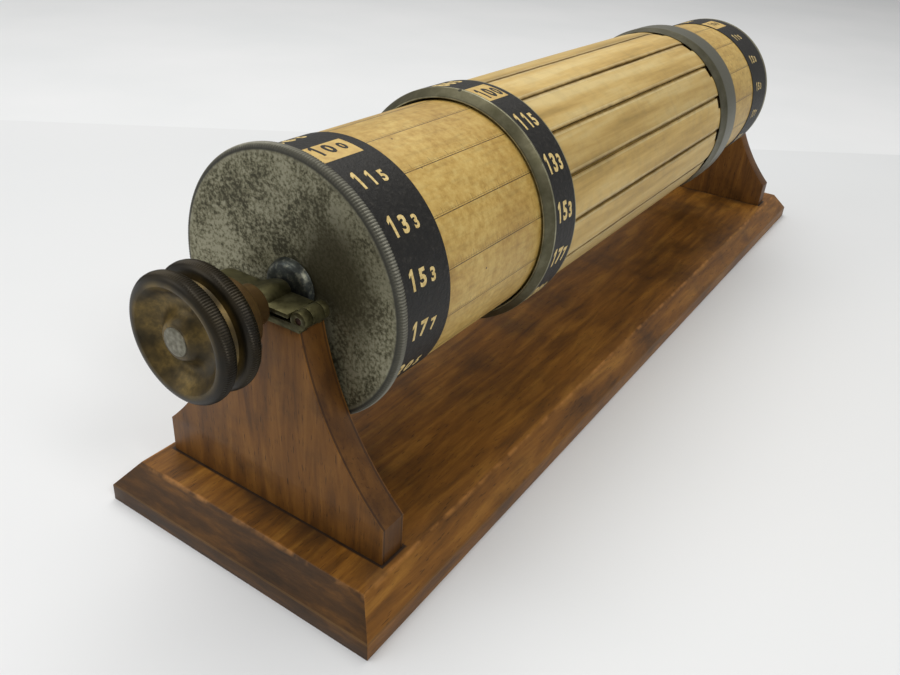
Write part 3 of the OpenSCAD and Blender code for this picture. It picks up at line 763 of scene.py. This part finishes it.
# painted highlight lines on the near ring: along its mouth, the crest at its outer edge and its rear edge
mouth = addNode(tree, "Math", {0: radius, 1: 39.05, 2: 0.22}, operation="COMPARE")
crest = addNode(tree, "Math", {0: x, 1: ringX0 + 3.3, 2: 0.35}, operation="COMPARE")
tail = addNode(tree, "Math", {0: x, 1: ringX1 - 0.3, 2: 0.35}, operation="COMPARE")
edgeHighlight = addNode(tree, "Math", {0: mouth, 1: crest}, operation="MAXIMUM")
edgeHighlight = addNode(tree, "Math", {0: edgeHighlight, 1: tail}, operation="MAXIMUM")
uneven = addNode(tree, "MapRange", {"Value": cloud, "From Min": 0.35, "From Max": 0.6, "To Min": 0.2,
                                    "To Max": 0.8})
edgeHighlight = addNode(tree, "Math", {0: edgeHighlight, 1: uneven}, operation="MULTIPLY")
colour = addNode(tree, "Mix", {0: edgeHighlight, 6: colour, 7: "#a9a68c"})
# small punched mark at the top of the near ring
markPlace = ((ringX0 + 2.9) * mm, -ring["markR"] * mm * math.sin(ring["markTurn"]),
             axisZ + ring["markR"] * mm * math.cos(ring["markTurn"]))
away = addNode(tree, "VectorMath", {0: place, 1: markPlace}, operation="DISTANCE").outputs["Value"]
punched = addNode(tree, "MapRange", {"Value": away, "From Min": 0.75 * mm, "From Max": 0.55 * mm,
                                     "To Max": 0.9})
colour = addNode(tree, "Mix", {0: punched, 6: colour, 7: "#17160f"})
rough = addNode(tree, "MapRange", {"Value": scratch, "To Min": 0.33, "To Max": 0.5})
connect(tree, shader, Base_Color=colour, Roughness=rough)
boreR, lipR, slatSeat = ring["boreR"], ring["lipR"], ring["slatR"]
nose = [(1.2, boreR), (1.2, lipR), (0.1, lipR), (0, 38.95), (0, 39.4), (0.15, 39.65), (2.8, ringR - 0.25),
        (3.0, ringR - 0.05), (3.2, ringR), (3.65, ringR), (3.7, ringR - 0.22)]
rear = [(-0.65, ringR - 0.22), (-0.6, ringR), (-0.15, ringR), (0, ringR - 0.15), (0, slatSeat),
        (-4, slatSeat), (-4, boreR)]
finishPiece(turned(shifted(nose, ringX0) + shifted(rear, ringX1), roundSteps), "near_ring_turned",
            ringMetal, "sleeve", "ring_metal", "near_sleeve_ring")
rear = [(-1.2, boreR), (-1.2, lipR), (-0.1, lipR), (0, 38.95), (0, ringR - 0.3), (-0.3, ringR)]
slope = [(7.6, ringR), (7.1, ringR - 0.05), (6.6, ringR - 0.2), (4.6, 41.3), (2.4, 40.9), (0.2, 40.66),
         (0, 40.6), (0, 40.45), (3, slatSeat), (9, slatSeat), (9, boreR)]
finishPiece(turned(shifted(rear, farX1) + shifted(slope, farX0), roundSteps), "far_ring_turned", ringMetal,
            "sleeve", "ring_metal", "far_sleeve_ring")

# Slats: thin wooden strips covered in printed paper, each a little warped
slat = {"count": 16, "crown": 0.22, "warp": 0.3, "edgeWander": 0.55, "stepWidth": 5.2, "stepFrom": 11.3,
        "dip": 0.4, "lengthSteps": 96, "widthSteps": 12, "thickness": 1.25, "edge": 0.22}
slatWood, tree, shader = newMaterial("paperCoveredSlat", IOR=1.45)
place, x, angle, radius = drumCoordinates(tree)
slatX0, slatX1 = startOf("slat_01"), endOf("slat_01")
slatR = max(radiusOf("slat_%02d" % (i + 1)) for i in range(slat["count"]))
pitch = rowAngle * slatR
marks, height = scaleLines(tree, x, angle, figures["slatGap"], slatX0 + 4, (slatX1 - slatX0) * 0.8, slatR)
streakPlace = addNode(tree, "Mapping", {"Vector": place, "Scale": (1, 14, 14)})
streak = addNode(tree, "TexNoise", {"Vector": streakPlace, "Scale": 1000 / 110, "Detail": 5,
                                    "Roughness": 0.6})
mottle = addNode(tree, "TexNoise", {"Vector": place, "Scale": 1000 / 5, "Detail": 5, "Roughness": 0.6})
colour = addNode(tree, "ValToRGB", {"Fac": streak},
                 stops=[(0.34, "#a58a4d"), (0.45, "#bb9c5a"), (0.54, "#c8ab69"), (0.66, "#d2bb80")])
shade = addNode(tree, "ValToRGB", {"Fac": mottle}, stops=[(0.3, 0.8), (0.55, 1.0)])
colour = addNode(tree, "Mix", {0: 0.6, 6: colour, 7: shade}, blend_type="MULTIPLY")
# every slat has its own tone
index = addNode(tree, "Math", {0: angle, 1: 1 / rowAngle, 2: -figures["slatGap"] / rowAngle},
                operation="MULTIPLY_ADD")
index = addNode(tree, "Math", {0: addNode(tree, "Math", {0: index}, operation="FLOOR"), 1: rowCount, 2: 0.0},
                operation="WRAP")
own = addNode(tree, "TexWhiteNoise", {"W": index}, noise_dimensions="1D")
tone = addNode(tree, "MapRange", {"Value": own.outputs["Value"], "To Min": 0.86, "To Max": 1.06})
colour = addNode(tree, "HueSaturation", {"Color": colour, "Value": tone})
ink = addNode(tree, "Math", {0: marks, 1: 0.2}, operation="MULTIPLY")
colour = addNode(tree, "Mix", {0: ink, 6: colour, 7: "#4a3518"})
# painted highlight bands along the slat edges, and darker towards the gaps: painted shade and dirt
gap = addNode(tree, "Math", {0: height, 1: pitch / 2}, operation="PINGPONG")
edge = addNode(tree, "Math", {0: gap, 1: 1.35, 2: 0.4}, operation="COMPARE")
edge = addNode(tree, "Math", {0: edge, 1: streak}, operation="MULTIPLY")
colour = addNode(tree, "Mix", {0: edge, 6: colour, 7: "#e2d09a"})
# painted shade and dirt towards the gaps, in patches
shadeAndDirt = addNode(tree, "MapRange", {"Value": gap, "From Min": 2.2, "From Max": 0.5, "To Max": 0.9})
patch = addNode(tree, "MapRange", {"Value": mottle, "From Min": 0.75, "From Max": 0.35, "To Min": 0.2,
                                   "To Max": 0.7})
shadeAndDirt = addNode(tree, "Math", {0: shadeAndDirt, 1: patch}, operation="MULTIPLY")
colour = addNode(tree, "Mix", {0: shadeAndDirt, 6: colour, 7: "#57411f"})
rough = addNode(tree, "MapRange", {"Value": mottle, "To Min": 0.45, "To Max": 0.65})
bump = addNode(tree, "Bump", {"Height": streak, "Strength": 0.2, "Distance": 0.1 * mm})
connect(tree, shader, Base_Color=colour, Roughness=rough, Normal=bump)

for i in range(slat["count"]):
    deselectAll()
    bpy.ops.mesh.primitive_grid_add(x_subdivisions=slat["lengthSteps"], y_subdivisions=slat["widthSteps"],
                                    size=1)
    piece = bpy.context.object
    length = slatX1 - slatX0
    width = pitch - 1.0 - random.uniform(-0.3, 0.35)
    stepX = length - slat["stepFrom"]
    stepColumn = int(stepX / length * slat["lengthSteps"])
    # edges wander and the strip lifts a little between the rings
    side = [random.uniform(0, 50), random.uniform(0, 50)]
    lift = random.uniform(-0.3, 1.0) * slat["warp"]
    lean = random.uniform(-0.5, 0.5) * slat["warp"]
    for vertex in piece.data.vertices:
        x, y = (vertex.co.x + 0.5) * length, vertex.co.y * 2
        column = round(x / length * slat["lengthSteps"])
        if column in (stepColumn, stepColumn + 1):
            x = stepX + (0.06 if column > stepColumn else -0.06)
        wander = slat["edgeWander"] * noise.noise(Vector((x / 40, side[y > 0], 3)))
        middle = math.sin(math.pi * x / length)
        half = width / 2 - max(0, wander) * middle
        # the far end is cut away on its upper side
        if x > stepX and y > 0:
            half -= slat["stepWidth"]
        dip = slat["dip"] * max(0, min(1, (x - stepX + 8) / 8)) ** 2
        vertex.co = (x, y * half, slat["crown"] * (1 - y * y) - slat["crown"]
                     + middle * (lift * 0.6 + lean * y) - dip)
    solid = piece.modifiers.new("thickness", "SOLIDIFY")
    solid.thickness = slat["thickness"]
    solid.offset = -1
    bpy.ops.object.modifier_apply(modifier=solid.name)
    bevelled(piece, slat["edge"], 50)
    onDrum(piece, slatX0, figures["slatGap"] + (i + 0.5) * rowAngle, slatR)
    smooth(35)
    # the CAD counts its slats from the underside of the drum
    number = (slat["count"] // 2 + slat["count"] - i - 1) % slat["count"] + 1
    node = "slat_%02d" % number
    finishPiece(piece, node + "_papered", slatWood, "sleeve", "slat_wood", node)

# Felt inside the rings: dark green wool, fuzzy and matt
felt = cloudedMaterial("woolFelt", 0.5, [(0.3, "#232c1e"), (0.7, "#3b4732")], detail=4, relief=(0.6, 0.2),
                       Roughness=0.95, Sheen_Weight=0.3)
dress(felt, "near_felt_liner", "far_felt_liner")

print("stage, lights and camera")

# Pale table top, with the far edge of a sheet lying on it
stage = {"farEdge": ((-0.0085, 0.4782), (0.45, -0.0965)), "sheetThickness": 0.003}
tablePaint = cloudedMaterial("paleTable", 180, [(0.3, "#e0e4e8"), (0.7, "#e6e9ed")], Roughness=0.5)
wallPaint = cloudedMaterial("paleWallPaint", 180, [(0.3, "#e7ebef"), (0.7, "#edf0f4")], Roughness=0.5)
deselectAll()
bpy.ops.mesh.primitive_plane_add(size=8, location=(0, 0, -stage["sheetThickness"]))
floor = bpy.context.object
floor.name = "floor"
floor.data.materials.append(wallPaint)
(ax, ay), (bx, by) = stage["farEdge"]
along = Vector((bx - ax, by - ay, 0)).normalized()
away = Vector((-along.y, along.x, 0))
bpy.ops.mesh.primitive_cube_add(size=1)
tableSheet = bpy.context.object
tableSheet.name = "table_sheet"
middle = Vector((ax, ay, 0)).lerp(Vector((bx, by, 0)), 0.5) - away * 1.0
tableSheet.matrix_world = (Matrix.Translation(middle - Vector((0, 0, stage["sheetThickness"] / 2)))
                           @ Matrix.Rotation(math.atan2(along.y, along.x), 4, "Z")
                           @ Matrix.Diagonal((4, 2, stage["sheetThickness"], 1)))
tableSheet.data.materials.append(tablePaint)

world = bpy.data.worlds.new("studio")
scene.world = world
world.use_nodes = True
background = world.node_tree.nodes["Background"]
background.inputs["Color"].default_value = (1.0, 0.98, 0.95, 1)
background.inputs["Strength"].default_value = 0.38

lights = [
    # name, place, size, power, colour
    ("ceiling", (0.12, 0.4, 1.45), (1.8, 1.2), 17, (1.0, 0.97, 0.92)),
    ("window", (-1.3, 1.0, 0.9), (1.0, 0.8), 5, (0.97, 0.98, 1.0)),
    ("frontLamp", (-0.42, -0.78, 0.85), (0.3, 0.3), 3.2, (1.0, 0.97, 0.93)),
]
for name, location, size, power, tint in lights:
    lamp = bpy.data.lights.new(name, "AREA")
    lamp.shape = "RECTANGLE"
    lamp.size, lamp.size_y = size
    lamp.energy = power
    lamp.color = tint
    holder = bpy.data.objects.new(name, lamp)
    holder.location = location
    holder.rotation_mode = "QUATERNION"
    holder.rotation_quaternion = (Vector((0, 0, 0.05)) - Vector(location)).to_track_quat("-Z", "Y")
    scene.collection.objects.link(holder)

view = {"location": (-0.3418, -0.1468, 0.1916), "azimuth": -58.25, "elevation": 30.06, "roll": 4.21,
        "lens": 32.68}
azimuth, elevation, roll = (math.radians(view[key]) for key in ("azimuth", "elevation", "roll"))
back = Vector((math.sin(azimuth) * math.cos(elevation), -math.cos(azimuth) * math.cos(elevation),
               math.sin(elevation)))
right = Vector((0, 0, 1)).cross(back).normalized()
up = back.cross(right)
sideways = math.cos(roll) * right + math.sin(roll) * up
upwards = math.cos(roll) * up - math.sin(roll) * right
camera = bpy.data.objects.new("camera", bpy.data.cameras.new("camera"))
camera.data.lens = view["lens"]
camera.data.sensor_width = 36
camera.data.clip_start = 0.01
camera.matrix_world = Matrix((
    (sideways.x, upwards.x, back.x, view["location"][0]),
    (sideways.y, upwards.y, back.y, view["location"][1]),
    (sideways.z, upwards.z, back.z, view["location"][2]),
    (0, 0, 0, 1)))
scene.collection.objects.link(camera)
scene.camera = camera
scene.view_settings.view_transform = "Standard"

print("done")
